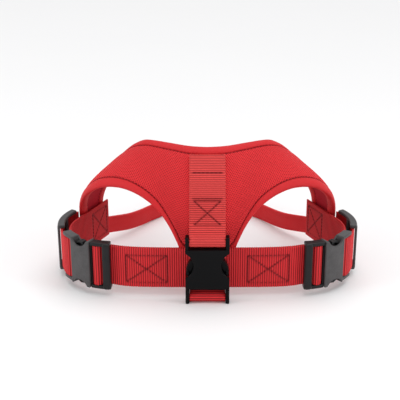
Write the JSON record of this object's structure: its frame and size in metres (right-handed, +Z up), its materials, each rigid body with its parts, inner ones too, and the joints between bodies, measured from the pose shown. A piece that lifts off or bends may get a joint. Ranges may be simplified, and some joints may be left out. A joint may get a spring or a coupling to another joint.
{
  "type": "pet harness",
  "caption": "Padded no-pull pet harness: mesh yoke with bound edges, girth webbing with side-release buckles and sliders, padded back strap and leash ring.",
  "frame": {"origin": "bottom centre of the whole harness as it stands on a floor", "axes": "+X left to right seen from the chest side, +Y from the chest to the back strap, +Z up"},
  "size_m": [0.2224, 0.2094, 0.1047],
  "materials": {
    "air_mesh": "open knitted spacer mesh",
    "foam": "soft",
    "lining": "plain weave",
    "binding": "smooth folded tape",
    "webbing": "ribbed weave",
    "buckle_plastic": "satin",
    "steel_ring": "polished"
  },
  "bodies": {
    "vest": {"yoke_mesh": "air_mesh", "yoke_padding": "foam", "yoke_lining": "lining", "neck_binding": "binding", "leg_binding_left": "binding", "leg_binding_right": "binding", "chest_webbing": "webbing", "chest_housing": "buckle_plastic", "front_strap": "webbing", "side_strap_left": "webbing", "side_strap_right": "webbing", "girth_housing_left": "buckle_plastic", "girth_housing_right": "buckle_plastic", "back_strap": "binding", "ring_keeper": "webbing"},
    "chest_plug": {"chest_plug": "buckle_plastic", "chest_tab": "webbing"},
    "chest_prong_left": {"chest_prong_left": "buckle_plastic"},
    "chest_prong_right": {"chest_prong_right": "buckle_plastic"},
    "girth_plug_left": {"girth_plug_left": "buckle_plastic", "strap_end_left": "webbing"},
    "girth_prong_upper_left": {"girth_prong_upper_left": "buckle_plastic"},
    "girth_prong_lower_left": {"girth_prong_lower_left": "buckle_plastic"},
    "girth_plug_right": {"girth_plug_right": "buckle_plastic", "strap_end_right": "webbing"},
    "girth_prong_upper_right": {"girth_prong_upper_right": "buckle_plastic"},
    "girth_prong_lower_right": {"girth_prong_lower_right": "buckle_plastic"},
    "slider_left": {"slider_left": "buckle_plastic"},
    "slider_right": {"slider_right": "buckle_plastic"},
    "leash_ring": {"leash_ring": "steel_ring"}
  },
  "joints": [
    {"name": "chest_release", "type": "slide", "parent": "vest", "child": "chest_plug", "axis": [0, 0, -1], "range_m": [0, 0.024], "deforming": ["chest_prong_left", "chest_prong_right"]},
    {"name": "chest_prong_left_squeeze", "type": "hinge", "parent": "chest_plug", "child": "chest_prong_left", "pos_m": [-0.0104, -0.1002, 0.0161], "axis": [0, 1, 0], "range_deg": [0, 9], "stiffness_Nm_per_rad": 0.25},
    {"name": "chest_prong_right_squeeze", "type": "hinge", "parent": "chest_plug", "child": "chest_prong_right", "pos_m": [0.0104, -0.1002, 0.0161], "axis": [0, -1, 0], "range_deg": [0, 9], "stiffness_Nm_per_rad": 0.25},
    {"name": "girth_release_left", "type": "hinge", "parent": "vest", "child": "girth_plug_left", "pos_m": [-0.066, -0.0477, 0.0233], "axis": [0, 0, 1], "range_deg": [0, 21], "deforming": ["strap_end_left", "girth_prong_upper_left", "girth_prong_lower_left"]},
    {"name": "girth_prong_upper_left_squeeze", "type": "hinge", "parent": "girth_plug_left", "child": "girth_prong_upper_left", "pos_m": [-0.08417, -0.08451, 0.0355], "axis": [-0.4426, -0.8967, 0], "range_deg": [0, 10], "stiffness_Nm_per_rad": 0.25},
    {"name": "girth_prong_lower_left_squeeze", "type": "hinge", "parent": "girth_plug_left", "child": "girth_prong_lower_left", "pos_m": [-0.08417, -0.08451, 0.0111], "axis": [0.4426, 0.8967, 0], "range_deg": [0, 10], "stiffness_Nm_per_rad": 0.25},
    {"name": "girth_release_right", "type": "hinge", "parent": "vest", "child": "girth_plug_right", "pos_m": [0.066, -0.0477, 0.0233], "axis": [0, 0, -1], "range_deg": [0, 21], "deforming": ["strap_end_right", "girth_prong_upper_right", "girth_prong_lower_right"]},
    {"name": "girth_prong_upper_right_squeeze", "type": "hinge", "parent": "girth_plug_right", "child": "girth_prong_upper_right", "pos_m": [0.08417, -0.08451, 0.0355], "axis": [-0.4426, 0.8967, 0], "range_deg": [0, 10], "stiffness_Nm_per_rad": 0.25},
    {"name": "girth_prong_lower_right_squeeze", "type": "hinge", "parent": "girth_plug_right", "child": "girth_prong_lower_right", "pos_m": [0.08417, -0.08451, 0.0111], "axis": [0.4426, -0.8967, 0], "range_deg": [0, 10], "stiffness_Nm_per_rad": 0.25},
    {"name": "adjust_left", "type": "hinge", "parent": "vest", "child": "slider_left", "pos_m": [-0.0687, -0.0495, 0.0233], "axis": [0, 0, 1], "range_deg": [-4, 5]},
    {"name": "adjust_right", "type": "hinge", "parent": "vest", "child": "slider_right", "pos_m": [0.0687, -0.0495, 0.0233], "axis": [0, 0, -1], "range_deg": [-4, 5]},
    {"name": "ring_swing", "type": "hinge", "parent": "vest", "child": "leash_ring", "pos_m": [0, 0.0875, 0.0165], "axis": [1, 0, 0], "range_deg": [-40, 110]}
  ]
}
